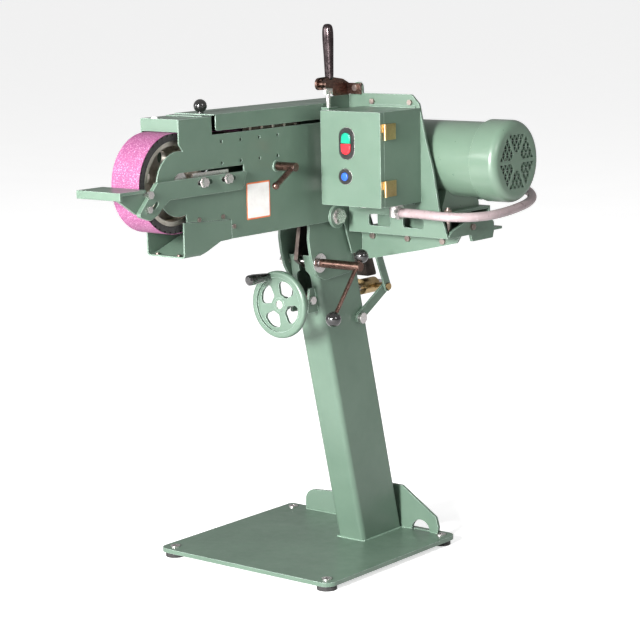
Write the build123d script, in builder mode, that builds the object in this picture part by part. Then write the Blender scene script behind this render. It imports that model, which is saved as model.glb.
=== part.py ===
from build123d import *
import math
import os

os.makedirs("parts", exist_ok=True)

# Pedestal belt grinder, in millimetres. +Z is up, -Y is the operator's side and the
# motor hangs out to +X. The origin is the centre of the four anchor holes at the floor.

# The head's datum: arm mid-plane, contact wheel axis, and top of the base plate.
arm_x = 71.5
wheel_y = -541.3
deck_z = 22.0

# Stand
base_w, base_d, base_t = 505.0, 486.4, 9.5
anchor_inset = 28.0
anchor_hole_r = 5.5
foot_r, bush_r = 22.5, 9.0
column_w, column_d, column_wall = 76.2, 150.5, 6.35
column_foot_y = 608.6
column_lean = math.tan(math.radians(13.49))
column_top_z = 690.0
cheek_t = 6.35

# Head
arm_half, panel_t = 52.5, 3.0
hinge_y, hinge_z = 735.5, 988.0
tilt_y, tilt_z = 508.0, 773.0
lock_y, lock_z = 457.0, 674.0
lock_r = math.hypot(tilt_y - lock_y, tilt_z - lock_z)
lock_angle = math.degrees(math.atan2(lock_z - tilt_z, lock_y - tilt_y))
tilt_nose_down, tilt_nose_up = 8.0, 12.0

clamp_y, clamp_z = 305.4, 902.7

# Belt drive: wheel radii, centres and belt
belt_w, belt_t = 76.2, 1.0
contact_r, contact_z = 101.6, 892.8
drive_r, drive_y, drive_z = 63.5, 652.0, 899.5
idler_r, idler_y, idler_z = 31.75, 468.7, 849.0
belt_gap = 0.3

# Linkage: lower pivot, knee, upper pivot, screw carrier pivot
link_low = (600.0, 530.0)
link_knee = (702.0, 589.0)
link_up = (620.0, 780.0)
carrier_y, screw_z = 452.0, 589.0
screw_r = 9.5
handwheel_r = 75.0
crank_x, crank_pin_z = -25.0, screw_z + 61

# Motor and electrical box
motor_r, cover_r = 82.5, 89.0
box_x, box_y, box_z = 95.2, 406.9, 812.3
box_w, box_d, box_h = 160.2, 144.5, 203.1
mount_plate_y, mount_plate_t = 551.4, 6.0


def at(x, y, z):
    """A point stated from the head's datum, as a point of the whole machine."""
    return (arm_x + x, wheel_y + y, deck_z + z)


def plane_x(x):
    """The plane across X at x: its own axes are +Y and +Z."""
    return Plane(origin=at(x, 0, 0), x_dir=(0, 1, 0), z_dir=(1, 0, 0))


def plane_y(y):
    """The plane across Y at y: its own axes are +X and +Z, and it faces -Y."""
    return Plane(origin=at(0, y, 0), x_dir=(1, 0, 0), z_dir=(0, -1, 0))


def plane_z(z):
    """The plane across Z at z: its own axes are +X and +Y."""
    return Plane(origin=at(0, 0, z), x_dir=(1, 0, 0), z_dir=(0, 0, 1))


def block(x0, x1, y0, y1, z0, z1, mode=Mode.ADD):
    """A box between two corners."""
    with Locations(at((x0 + x1) / 2, (y0 + y1) / 2, (z0 + z1) / 2)):
        Box(x1 - x0, y1 - y0, z1 - z0, mode=mode)


def disc(plane, centre, r, length, mode=Mode.ADD, bore=0):
    """A cylinder, or a ring, standing on a plane."""
    with BuildSketch(plane) as face:
        with Locations(centre):
            Circle(r)
            if bore:
                Circle(bore, mode=Mode.SUBTRACT)
    extrude(to_extrude=face.sketch, amount=length, mode=mode)


def rod_x(x0, x1, y, z, r, mode=Mode.ADD, bore=0):
    disc(plane_x(x0), (y, z), r, x1 - x0, mode, bore)


def rod_y(y0, y1, x, z, r, mode=Mode.ADD, bore=0):
    disc(plane_y(y1), (x, z), r, y1 - y0, mode, bore)


def rod_z(z0, z1, x, y, r, mode=Mode.ADD, bore=0):
    disc(plane_z(z0), (x, y), r, z1 - z0, mode, bore)


def sheet(plane, points, length, mode=Mode.ADD):
    """A flat piece on a plane. Each point is (across, up) or (across, up, corner radius)."""
    corners = [point[:2] for point in points]
    radii = [point[2] if len(point) > 2 else 0 for point in points]
    with BuildSketch(plane) as face:
        with BuildLine():
            FilletPolyline(*corners, radius=radii, close=True)
        make_face()
    extrude(to_extrude=face.sketch, amount=length, mode=mode)


def sheet_x(x0, x1, points, mode=Mode.ADD):
    sheet(plane_x(x0), points, x1 - x0, mode)


def sheet_y(y0, y1, points, mode=Mode.ADD):
    sheet(plane_y(y1), points, y1 - y0, mode)


def sheet_z(z0, z1, points, mode=Mode.ADD):
    sheet(plane_z(z0), points, z1 - z0, mode)


def hexagon(plane, centre, across_flats, length, mode=Mode.ADD):
    """A hexagon head or nut standing on a plane."""
    with BuildSketch(plane) as face:
        with Locations(centre):
            RegularPolygon(across_flats / 2, 6, major_radius=False)
    extrude(to_extrude=face.sketch, amount=length, mode=mode)


def hex_x(x0, x1, y, z, across_flats, mode=Mode.ADD):
    hexagon(plane_x(x0), (y, z), across_flats, x1 - x0, mode)


def hex_y(y0, y1, x, z, across_flats, mode=Mode.ADD):
    hexagon(plane_y(y1), (x, z), across_flats, y1 - y0, mode)


def slot_x(x0, x1, start, end, r, mode=Mode.SUBTRACT):
    """A round-ended slot through X between two centres."""
    centre = ((start[0] + end[0]) / 2, (start[1] + end[1]) / 2)
    run = math.hypot(end[0] - start[0], end[1] - start[1])
    turn = math.degrees(math.atan2(end[1] - start[1], end[0] - start[0]))
    with BuildSketch(plane_x(x0)) as face:
        with Locations(Location((centre[0], centre[1], 0), (0, 0, turn))):
            SlotCenterToCenter(run, 2 * r)
    extrude(to_extrude=face.sketch, amount=x1 - x0, mode=mode)


def arc_slot_x(x0, x1, centre, r, start_deg, end_deg, half_width, mode=Mode.SUBTRACT):
    """A curved slot through X about a centre."""
    with BuildSketch(plane_x(x0)) as face:
        with BuildLine() as path:
            CenterArc(centre, r, start_deg, end_deg - start_deg)
        SlotArc(path.edges()[0], 2 * half_width)
    extrude(to_extrude=face.sketch, amount=x1 - x0, mode=mode)


def ball(x, y, z, r):
    with Locations(at(x, y, z)):
        Sphere(r)


def rod_between(start, end, r):
    """A straight round rod between two points."""
    first, last = Vector(at(*start)), Vector(at(*end))
    line_plane = Plane(origin=first, z_dir=last - first)
    with BuildSketch(line_plane) as face:
        Circle(r)
    extrude(to_extrude=face.sketch, amount=(last - first).length)


def link_bar(x0, x1, low, high, width, hole_low, hole_high):
    """A flat link between two pivots, with an eye at each end."""
    slot_x(x0, x1, low, high, width / 2, Mode.ADD)
    rod_x(x0, x1, low[0], low[1], hole_low, Mode.SUBTRACT)
    rod_x(x0, x1, high[0], high[1], hole_high, Mode.SUBTRACT)


def column_y(z, depth=0.0):
    """Y of the column at height z, measured back from its front face."""
    return column_foot_y - z * column_lean + depth


def save(part, name):
    part.label = name
    export_step(part, f"parts/{name}.step")


# ---------------------------------------------------------------- stand

anchors = [
    (side * (base_w / 2 - anchor_inset) - arm_x, -wheel_y + end * (base_d / 2 - anchor_inset))
    for side in (-1, 1)
    for end in (-1, 1)
]
plate_x0, plate_x1 = -arm_x - base_w / 2, -arm_x + base_w / 2
plate_y0, plate_y1 = -wheel_y - base_d / 2, -wheel_y + base_d / 2

with BuildPart() as base_plate:
    sheet_z(
        -base_t,
        0,
        [
            (plate_x0, plate_y0, 25),
            (plate_x1, plate_y0, 25),
            (plate_x1, plate_y1, 25),
            (plate_x0, plate_y1, 12),
        ],
    )
    for x, y in anchors:
        rod_z(-base_t, 0, x, y, bush_r + 0.1, Mode.SUBTRACT)
    # cross gusset behind the column's foot, with a half-moon wire notch
    sheet_y(
        760.0,
        768.0,
        [
            (-257.6, 0),
            (140.5, 0),
            (143, 14, 3),
            (136, 38, 8),
            (38, 102, 3),
            (-38, 102, 3),
            (-120, 60, 30),
            (-257.6, 50, 28),
        ],
    )
    rod_y(759, 769, 92, 0, 26, Mode.SUBTRACT)
save(base_plate.part, "base_plate")

with BuildPart() as floor_feet:
    for x, y in anchors:
        rod_z(-deck_z, -base_t, x, y, foot_r, bore=bush_r + 0.1)
save(floor_feet.part, "floor_feet")

with BuildPart() as anchor_bushes:
    for x, y in anchors:
        rod_z(-deck_z, 2.5, x, y, bush_r, bore=anchor_hole_r)
        rod_z(0, 2.5, x, y, bush_r + 2.5, bore=anchor_hole_r)
save(anchor_bushes.part, "anchor_bushes")

column_inner_y = column_wall / math.cos(math.atan(column_lean))
slot_half = 20.0
with BuildPart() as column:
    sheet_x(
        -column_w / 2,
        column_w / 2,
        [
            (column_y(0), 0),
            (column_y(0, column_d), 0),
            (column_y(column_top_z, column_d), column_top_z),
            (column_y(column_top_z), column_top_z),
        ],
    )
    long_edges = column.edges().filter_by(GeomType.LINE)
    lean_edges = [edge for edge in long_edges if edge.length > column_top_z]
    fillet(lean_edges, 12)
    inner_top = column_top_z + 1
    sheet_x(
        -column_w / 2 + column_wall,
        column_w / 2 - column_wall,
        [
            (column_y(-1, column_inner_y), -1),
            (column_y(-1, column_d - column_inner_y), -1),
            (column_y(inner_top, column_d - column_inner_y), inner_top),
            (column_y(inner_top, column_inner_y), inner_top),
        ],
        Mode.SUBTRACT,
    )
    # slot for the tilt screw in the front wall, round at its top, and one in the rear wall
    sheet_y(
        430,
        500,
        [(-slot_half, 566), (slot_half, 566), (slot_half, 655, 18), (-slot_half, 655, 18)],
        Mode.SUBTRACT,
    )
    block(-14, 14, 560, 660, 555, 625, Mode.SUBTRACT)
    # notch for the quadrant in the top of the front wall
    block(-9, 9, 430, 475, 640, column_top_z + 1, Mode.SUBTRACT)
    rod_x(-60, 60, link_low[0], link_low[1], 8.05, Mode.SUBTRACT)
    rod_x(-60, 60, lock_y, lock_z, 6.05, Mode.SUBTRACT)
    # welded bracket for the screw carrier
    for x0 in (-25.0, 20.0):
        sheet_x(
            x0,
            x0 + 5,
            [(436, 561, 4), (column_y(561), 561), (column_y(617), 617), (445, 617, 4)],
        )
        rod_x(x0, x0 + 5, carrier_y, screw_z, 6.05, Mode.SUBTRACT)
save(column.part, "column")

with BuildPart() as cheek_plates:
    for x0 in (-column_w / 2 - cheek_t, column_w / 2):
        sheet_x(
            x0,
            x0 + cheek_t,
            [
                (424.6, 762, 6),
                (421.8, 729, 30),
                (427.7, 695, 40),
                (437.3, 665, 40),
                (450.7, 643, 30),
                (478.8, 633, 8),
                (572, 640, 14),
                (574, 700, 20),
                (531, 795, 20),
                (486, 795, 20),
                (465, 778, 15),
            ],
        )
        rod_x(x0, x0 + cheek_t, tilt_y, tilt_z, 9.55, Mode.SUBTRACT)
        rod_x(x0, x0 + cheek_t, lock_y, lock_z, 6.05, Mode.SUBTRACT)
save(cheek_plates.part, "cheek_plates")

with BuildPart() as stand_pins:
    # carrier pins, lower link pin and lock stud
    for x0, x1, head in ((-31, -14.5, -31), (14.5, 31, 25.4)):
        rod_x(x0, x1, carrier_y, screw_z, 6.0)
        hex_x(head, head + 5.6, carrier_y, screw_z, 17)
    rod_x(-52, 52, link_low[0], link_low[1], 8.0)
    for x0 in (-55.5, 49.5):
        rod_x(x0, x0 + 6, link_low[0], link_low[1], 12.5)
    rod_x(-62, 51, lock_y, lock_z, 6.0)
    hex_x(-62, -53, lock_y, lock_z, 19)
    rod_x(-53, -44.5, lock_y, lock_z, 14)
    rod_x(44.5, 47.5, lock_y, lock_z, 21.5)
save(stand_pins.part, "stand_pins")

# ---------------------------------------------------------------- head: arm

nose_r = 66.5
nose_low, nose_high = 829.0, 958.0
nose_low_y = math.sqrt(nose_r**2 - (contact_z - nose_low) ** 2)
nose_high_y = math.sqrt(nose_r**2 - (nose_high - contact_z) ** 2)


def arm_panel(x0, x1):
    """One side panel of the arm: nose round the contact wheel, straight back to the rear."""
    with BuildSketch(plane_x(x0)) as face:
        with BuildLine():
            nose = ThreePointArc(
                (nose_low_y, nose_low), (-nose_r, contact_z), (nose_high_y, nose_high)
            )
            front = Polyline(nose @ 1, (2.5, 972), (2.5, 1022), (102, 1022), (103.5, 984.5))
            top = Polyline(front @ 1, (728, 984.5), (728, 763.5))
            under = Polyline(top @ 1, (610, 763.5), (606, 724), (606, 683), (565, 683))
            Polyline(
                under @ 1,
                (535, 763.5),
                (158, 763.5),
                (156.4, 804.6),
                (20.2, 812.3),
                nose @ 0,
            )
        make_face()
    extrude(to_extrude=face.sketch, amount=x1 - x0)


with BuildPart() as arm_frame:
    for x0, x1 in ((-arm_half, -arm_half + panel_t), (arm_half - panel_t, arm_half)):
        arm_panel(x0, x1)
        # axle slot, round at the front and square behind
        slot_x(x0, x1, (4, contact_z), (150, contact_z), 22)
        block(x0, x1, 100, 201, contact_z - 22, contact_z + 22, Mode.SUBTRACT)
        rod_x(x0, x1, tilt_y, tilt_z, 9.6, Mode.SUBTRACT)
        rod_x(x0, x1, link_up[0], link_up[1], 8.05, Mode.SUBTRACT)
    # slot for the idler axle, and openings for the motor shaft and the two 4-hole rows
    slot_x(49, 53, (idler_y, 838), (idler_y, 876), 9)
    rod_x(49, 53, drive_y, drive_z, 40, Mode.SUBTRACT)
    for row_z in (924.4, 968.7):
        for i in range(4):
            rod_x(49, 53, 131.6 + 60.4 * i, row_z, 3.5, Mode.SUBTRACT)
    # ear round the tilt pivot, cross plate over the cheeks, floor and rear wall
    for x0 in (-58.5, 52.5):
        rod_x(x0, x0 + 6, tilt_y, tilt_z, 26, bore=9.6)
    block(-49.5, 49.5, 395, 600, 799, 804)
    block(-49.5, 49.5, 160, 400, 763.5, 766.5)
    block(-49.5, 49.5, 395, 398, 766.5, 799)
    block(-49.5, 49.5, 725, 728, 763.5, 984.5)
    block(-49.5, 49.5, 655, 725, 763.5, 766.5)
    # nose cover
    block(-49.5, 49.5, 2.2, 5.2, 997, 1022.8)
    block(-49.5, 49.5, 5.2, 104, 1019.8, 1022.8)
    # support beam for the motor shelf, welded to the right panel
    sheet_y(
        603,
        609,
        [
            (52.5, 735),
            (52.5, 684),
            (60, 679),
            (71, 668, 4),
            (102, 674),
            (211, 696),
            (312, 719, 8),
            (322, 735),
        ],
    )
    # welded stud for the clamp lever
    rod_x(arm_half, 78, clamp_y, clamp_z, 6)
    rod_x(arm_half, 55.5, clamp_y, clamp_z, 12)
save(arm_frame.part, "arm_frame")

with BuildPart() as dust_chute:
    # a bent channel with a round-cornered floor, open in front and on top
    for inset, y1, mode in ((0, 156, Mode.ADD), (panel_t, 153, Mode.SUBTRACT)):
        half, low = arm_half - inset, 738.5 + inset
        corner = 8 - inset
        sheet_y(
            10 - inset,
            y1,
            [(-half, low, corner), (half, low, corner), (half, 815), (-half, 815)],
            mode,
        )
    sheet_x(-60, 60, [(0, 812.5), (0, 820), (160, 820), (160, 803.4)], Mode.SUBTRACT)
    sheet_x(-60, 60, [(60, 738.4), (122, 762), (160, 763), (160, 730), (60, 730)], Mode.SUBTRACT)
    sheet_x(
        -49.6,
        49.6,
        [(60, 738.5), (122, 762), (156, 763), (156, 766), (121, 765), (59.5, 741.5)],
    )
    block(-46, 46, 150, 160, 786, 815, Mode.SUBTRACT)
    # tabs inside the side panels for the chute's screws
    for x0, x1 in ((-49.5, -46.5), (46.5, 49.5)):
        block(x0, x1, 30, 150, 790, 828)
        block(x0, x1, 150, 178, 766.6, 800)
    # sloping baffle
    sheet_x(-46.4, 46.4, [(22, 741.6), (26, 741.6), (150, 783), (150, 786)])
save(dust_chute.part, "dust_chute")

chute_screw_places = [(56, 814), (130, 813), (164, 789)]
with BuildPart() as tilt_quadrant:
    quadrant_r = lock_r + 11
    first, last = math.radians(229), math.radians(262)
    middle = (first + last) / 2
    with BuildSketch(plane_x(-5)) as quadrant_face:
        with BuildLine():
            rim_points = [
                (tilt_y + quadrant_r * math.cos(turn), tilt_z + quadrant_r * math.sin(turn))
                for turn in (first, middle, last)
            ]
            ThreePointArc(*rim_points)
            Polyline(rim_points[2], (522, 700), (540, 799), (450, 799), (440, 745), rim_points[0])
        make_face()
    extrude(to_extrude=quadrant_face.sketch, amount=10)
    rod_x(-5, 5, tilt_y, tilt_z, 9.7, Mode.SUBTRACT)
    arc_slot_x(
        -5,
        5,
        (tilt_y, tilt_z),
        lock_r,
        lock_angle - tilt_nose_down - 2,
        lock_angle + tilt_nose_up + 2,
        6.6,
    )
save(tilt_quadrant.part, "tilt_quadrant")

with BuildPart() as tilt_pivot_bolt:
    rod_x(-64, 64, tilt_y, tilt_z, 9.5)
    for x0 in (-61.6, 58.6):
        rod_x(x0, x0 + 3, tilt_y, tilt_z, 18)
    hex_x(61.6, 70, tilt_y, tilt_z, 28)
    hex_x(-70, -61.6, tilt_y, tilt_z, 28)
    for x0 in (-49.4, 44.55):
        rod_x(x0, x0 + 4.85, tilt_y, tilt_z, 17)
save(tilt_pivot_bolt.part, "tilt_pivot_bolt")

# ---------------------------------------------------------------- belt drive

with BuildPart() as contact_axle:
    rod_x(-arm_half, arm_half, 0, contact_z, 10)
    for inner, outer, r in ((46, 49.4, 27), (49.4, 52.4, 17), (35.6, 46, 13)):
        rod_x(inner, outer, 0, contact_z, r)
        rod_x(-outer, -inner, 0, contact_z, r)
save(contact_axle.part, "contact_axle")

serrations = 40
with BuildPart() as contact_tyre:
    with BuildSketch(plane_x(-belt_w / 2)) as tyre_face:
        with Locations((0, contact_z)):
            Circle(contact_r)
            Circle(87, mode=Mode.SUBTRACT)
            with PolarLocations(contact_r - 1, serrations):
                Rectangle(6, 5, mode=Mode.SUBTRACT)
    extrude(to_extrude=tyre_face.sketch, amount=belt_w)
save(contact_tyre.part, "contact_tyre")

with BuildPart() as contact_hub:
    rod_x(-36, 36, 0, contact_z, 86.9, bore=77)
    rod_x(-6, 6, 0, contact_z, 77.5, bore=20.1)
    rod_x(-35, 35, 0, contact_z, 27, bore=20.1)
    for i in range(5):
        turn = math.radians(72 * i + 18)
        y, z = 52 * math.cos(turn), contact_z + 52 * math.sin(turn)
        rod_x(-7, 7, y, z, 13, Mode.SUBTRACT)
    for x0 in (-34, 20):
        rod_x(x0, x0 + 14, 0, contact_z, 20, bore=10.05)
save(contact_hub.part, "contact_hub")

with BuildPart() as drive_wheel:
    rod_x(-belt_w / 2, belt_w / 2, drive_y, drive_z, drive_r, bore=8.02)
    for x0 in (-belt_w / 2, belt_w / 2 - 24):
        rod_x(x0, x0 + 24, drive_y, drive_z, 54, Mode.SUBTRACT, bore=20)
save(drive_wheel.part, "drive_wheel")

with BuildPart() as idler_wheel:
    rod_x(-belt_w / 2, belt_w / 2, idler_y, idler_z, idler_r, bore=6.05)
save(idler_wheel.part, "idler_wheel")

wheel_circles = [
    (0, contact_z, contact_r),
    (drive_y, drive_z, drive_r),
    (idler_y, idler_z, idler_r),
]


def belt_face(offset):
    """The area inside a loop drawn round the three wheels, offset from their rims."""
    with BuildSketch(plane_x(-belt_w / 2)) as face:
        for y, z, r in wheel_circles:
            with Locations((y, z)):
                Circle(r + offset)
        make_hull()
    return face.sketch


with BuildPart() as sanding_belt:
    extrude(to_extrude=belt_face(belt_gap + belt_t), amount=belt_w)
    extrude(to_extrude=belt_face(belt_gap), amount=belt_w, mode=Mode.SUBTRACT)
save(sanding_belt.part, "sanding_belt")
print("belt length", sanding_belt.part.volume / belt_w / belt_t)

belt_rise = math.atan2(drive_z - contact_z, drive_y)
belt_span = math.hypot(drive_y, drive_z - contact_z)
belt_normal = belt_rise + math.acos((contact_r - drive_r) / belt_span)


def belt_top(y):
    """Height of the inner face of the belt's upper run."""
    reach = contact_r + belt_gap
    return contact_z + (reach - y * math.cos(belt_normal)) / math.sin(belt_normal)


with BuildPart() as platen:
    sheet_x(
        -46.4,
        46.4,
        [
            (150, belt_top(150) - 0.6),
            (450, belt_top(450) - 0.6),
            (450, belt_top(450) - 8),
            (150, belt_top(150) - 8),
        ],
    )
    for x0 in (-49.4, 46.4):
        block(x0, x0 + 3, 205, 395, belt_top(205) - 9, 993.5)
save(platen.part, "platen")

with BuildPart() as arm_fasteners:
    for side in (-1, 1):
        for y, z in chute_screw_places:
            start = min(side * arm_half, side * (arm_half + 2.5))
            rod_x(start, start + 2.5, y, z, 5)
    for x in (-30, 30):
        rod_z(741.6, 745, x, 17, 4.5)
    for i in range(5):
        for x0 in (-52.0, 49.5):
            rod_x(x0, x0 + 2.5, 225 + 37.5 * i, 989, 3.6)
    rod_x(-58, 58, link_up[0], link_up[1], 8.0)
    for x0 in (-58, 53):
        rod_x(x0, x0 + 5, link_up[0], link_up[1], 12)
save(arm_fasteners.part, "arm_fasteners")

# ---------------------------------------------------------------- belt tension gear

rod_x_place = 68.0
handle_y, handle_z = 449.0, 1068.5
crank_r, crank_rest = 20.0, math.radians(-10)
crank_y = handle_y + crank_r * math.cos(crank_rest)
crank_z = handle_z + crank_r * math.sin(crank_rest)

with BuildPart() as tension_rod:
    block(58, 77, idler_y - 11, idler_y + 11, idler_z - 12, idler_z + 14)
    rod_x(57, 78, idler_y, idler_z, 6.02, Mode.SUBTRACT)
    rod_z(idler_z + 14, 1052, rod_x_place, idler_y, 4.5)
    rod_z(956, 960, rod_x_place, idler_y, 9.0)
    block(64.6, 71.4, idler_y - 11, idler_y + 12, 1046, 1077)
    block(64, 72, crank_y - 7.6, crank_y + 5, crank_z - 5, crank_z + 5, Mode.SUBTRACT)
    rod_x(-48.5, 78, idler_y, idler_z, 6.0)
    rod_x(-48.5, -38.6, idler_y, idler_z, 9.0)
    rod_x(38.6, 47, idler_y, idler_z, 9.0)
save(tension_rod.part, "tension_rod")

with BuildPart() as tension_spring:
    rod_z(960.2, 1011.8, rod_x_place, idler_y, 8.5, bore=5.2)
save(tension_spring.part, "tension_spring")

with BuildPart() as tension_plate:
    sheet_x(
        57.5,
        62.4,
        [
            (436, 1055.5, 12),
            (436, 1081.5, 12),
            (480, 1083.5, 10),
            (530, 1076, 20),
            (551.3, 1066, 4),
            (551.3, 1040),
            (500, 1040, 6),
            (482, 1055.5, 6),
        ],
    )
    block(62.4, 98, 545.4, 551.3, 1042, 1066)
    rod_x(57, 63, handle_y, handle_z, 4.55, Mode.SUBTRACT)
    rod_y(545, 552, 86, 1056, 4.1, Mode.SUBTRACT)
    # riveted handle pivot
    rod_x(55.5, 82, handle_y, handle_z, 4.5)
    rod_x(56.2, 57.4, handle_y, handle_z, 7.5)
    rod_x(80.6, 84, handle_y, handle_z, 7.5)
save(tension_plate.part, "tension_plate")

with BuildPart() as tension_handle:
    rod_x(62.6, 80.4, handle_y, handle_z, 7.0)
    slot_x(72.2, 79, (handle_y, handle_z), (crank_y, crank_z), 7.0, Mode.ADD)
    sheet_x(
        72.2,
        79,
        [(442, 1064), (456, 1061), (476, 1086), (484, 1120), (484, 1150), (470, 1150), (466, 1110)],
    )
    sheet_x(
        64,
        87,
        [
            (464, 1092, 3),
            (474, 1088, 3),
            (485, 1130, 30),
            (487, 1188, 5),
            (478, 1200, 4),
            (458, 1190, 3),
            (460, 1184, 2),
            (472, 1186, 6),
            (474, 1140, 30),
        ],
    )
    rod_x(64.8, 72.3, crank_y, crank_z, 4.0)
    rod_x(60, 90, handle_y, handle_z, 4.55, Mode.SUBTRACT)
save(tension_handle.part, "tension_handle")

# ---------------------------------------------------------------- lid

with BuildPart() as top_lid:
    block(-55, 55, 108, 731, 1024.5, 1026)
    block(-49, 49, 76, 112, 1023.0, 1024.5)
    for x0 in (-55.0, 53.2):
        sheet_x(x0, x0 + 1.8, [(112.6, 1024.5), (112.6, 992, 6), (731, 992), (731, 1024.5)])
    block(-53.2, 53.2, 729.2, 731, 994, 1024.5)
    # hinge leaf
    block(-29.8, 29.8, 731, 733, 994, 1014)
    for x0 in (-29.8, 10.2):
        rod_x(x0, x0 + 19.6, hinge_y, hinge_z, 4.0)
        block(x0, x0 + 19.6, 732, hinge_y + 1, 990.5, 995)
    rod_x(-31, 31, hinge_y, hinge_z, 2.05, Mode.SUBTRACT)
save(top_lid.part, "top_lid")

with BuildPart() as lid_knob:
    rod_z(1026, 1031, 0, 128, 7)
    ball(0, 128, 1041, 14)
save(lid_knob.part, "lid_knob")

with BuildPart() as lid_hinge:
    block(-50, 50, 728, 730, 966, 984)
    for x0 in (-50, -10, 30):
        rod_x(x0, x0 + 20, hinge_y, hinge_z, 4.0)
        block(x0, x0 + 20, 730, hinge_y, 982, 986)
    rod_x(-51, 51, hinge_y, hinge_z, 2.05, Mode.SUBTRACT)
    rod_x(-50.5, 50.5, hinge_y, hinge_z, 2.0)
save(lid_hinge.part, "lid_hinge")

# ---------------------------------------------------------------- tool rest

bar_x0, bar_x1 = 52.6, 62.6
rest_y, rest_z = -100.0, 881.0
rest_lock_r = 29.2
with BuildPart() as tool_rest_bar:
    sheet_x(
        bar_x0,
        bar_x1,
        [
            (200, 902.5, 3),
            (-74, 902.5, 8),
            (-132, 841, 6),
            (-98, 829, 6),
            (-74, 839, 6),
            (-59, 853, 10),
            (-40, 865, 10),
            (183, 865, 3),
        ],
    )
    slot_x(bar_x0, bar_x1, (49.5, 891), (84.5, 891), 5.5)
    slot_x(bar_x0, bar_x1, (124.5, 892), (157.5, 892), 5.5)
    rod_x(bar_x0, bar_x1, rest_y, rest_z, 5.05, Mode.SUBTRACT)
    arc_slot_x(bar_x0, bar_x1, (rest_y, rest_z), rest_lock_r, 258, 320, 4.6)
save(tool_rest_bar.part, "tool_rest_bar")

with BuildPart() as rest_clamp_bolts:
    for y, z in ((62, 891), (137, 892)):
        rod_x(44, 66, y, z, 5.0)
        rod_x(62.8, 64.8, y, z, 11)
        hex_x(64.8, 71.5, y, z, 17)
    block(44, 49.4, 45, 155, 876, 910)
save(rest_clamp_bolts.part, "rest_clamp_bolts")

with BuildPart() as rest_table:
    block(-60, 60, -180, -106, 886, 892)
    sheet_x(-60, 60, [(-180, 875.5, 2), (-180, 892), (-174, 892), (-174, 875.5)])
    sheet_x(
        46.2,
        52.3,
        [(-178, 887), (-178, 876), (-128, 844, 8), (-96, 840, 8), (-92, 884, 6), (-106, 889)],
    )
    rod_x(46, 53, rest_y, rest_z, 5.02, Mode.SUBTRACT)
    rod_x(46, 53, rest_y - 3, rest_z - 29, 4.02, Mode.SUBTRACT)
save(rest_table.part, "rest_table")

with BuildPart() as table_bolts:
    rod_x(46, 68, rest_y, rest_z, 5.0)
    hex_x(62.9, 69.5, rest_y, rest_z, 15)
    rod_x(46, 68, rest_y - 3, rest_z - 29, 4.0)
    hex_x(62.9, 69, rest_y - 3, rest_z - 29, 13)
save(table_bolts.part, "table_bolts")

# ---------------------------------------------------------------- arm fittings

with BuildPart() as clamp_lever:
    rod_x(58, 108, clamp_y, clamp_z, 9.5)
    rod_between((100, clamp_y, clamp_z), (104, 242, 868.7), 6)
    ball(104, 242, 868.7, 8)
    rod_x(57, 79, clamp_y, clamp_z, 6.05, Mode.SUBTRACT)
save(clamp_lever.part, "clamp_lever")

# ---------------------------------------------------------------- motor mount

mount_y1 = mount_plate_y + mount_plate_t
with BuildPart() as motor_bracket:
    sheet_y(
        mount_plate_y,
        mount_y1,
        [
            (56, 735),
            (56, 1040, 4),
            (73, 1042),
            (74, 1068, 11),
            (98, 1068, 11),
            (99, 1044),
            (232, 1044, 10),
            (252, 1024, 8),
            (269, 947),
            (287, 883),
            (303, 795),
            (325, 737, 4),
            (325, 735),
        ],
    )
    sheet_y(550, 558, [(111, 752, 6), (172, 752, 6), (172, 778, 6), (111, 778, 6)], Mode.SUBTRACT)
    sheet_y(550, 558, [(205, 753, 6), (262, 753, 6), (262, 775, 6), (205, 775, 6)], Mode.SUBTRACT)
    rod_y(550, 558, 86, 1056, 4.1, Mode.SUBTRACT)
    block(56, 325, mount_y1, 762, 735, 741)
    for y in (605, 640, 690):
        rod_z(734, 742, 298, y, 5, Mode.SUBTRACT)
    sheet_x(319, 325, [(mount_y1, 741), (568, 749, 6), (617, 765, 10), (730, 758, 8), (730, 741)])
    sheet_x(319, 325, [(640, 735), (645, 719, 4), (725, 719, 4), (730, 735)])
    # guide for the tension rod
    block(57.5, 62.4, 478, 551.3, 1008, 1039.8)
    block(57.5, 78, idler_y - 11, 490, 1012, 1018)
    rod_z(1011, 1019, rod_x_place, idler_y, 4.6, Mode.SUBTRACT)
save(motor_bracket.part, "motor_bracket")

with BuildPart() as mount_bolts:
    for x in (84, 181, 276):
        hex_y(598, 602.9, x, 721, 13)
    hex_y(539, 545.3, 86, 1056, 13)
    rod_y(545.3, 560, 86, 1056, 4.0)
    for x in (127, 229):
        hex_y(546, 551.3, x, 1027, 11)
    hex_x(325.1, 331, 644, 752, 13)
    rod_z(741.1, 800, 309.5, 575, 5.0)
    hexagon(plane_z(773), (309.5, 575), 16, 8.9)
    hexagon(plane_z(788.1), (309.5, 575), 16, 7)
    hexagon(plane_z(741.1), (309.5, 575), 16, 8)
save(mount_bolts.part, "mount_bolts")

# ---------------------------------------------------------------- motor

with BuildPart() as motor_base:
    block(110, 306, 560, 743, 782, 788)
    block(306, 320, 566, 584, 782, 788)
    for y0 in (585, 737):
        block(110, 306, y0, y0 + 6, 741.1, 782)
    rod_z(781, 789, 309.5, 575, 5.2, Mode.SUBTRACT)
save(motor_base.part, "motor_base")

with BuildPart() as motor_shell:
    for x0 in (150, 262):
        sheet_x(
            x0,
            x0 + 28,
            [(582, 788.1), (722, 788.1), (722, 797), (704, 838), (600, 838), (582, 797)],
        )
    rod_x(140, 300, drive_y, drive_z, motor_r + 0.1, Mode.SUBTRACT)
    rod_x(130, 373.5, drive_y, drive_z, motor_r, bore=76)
    rod_x(180, 320, drive_y, drive_z, 75.8, bore=45.4)
save(motor_shell.part, "motor_shell")

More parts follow.
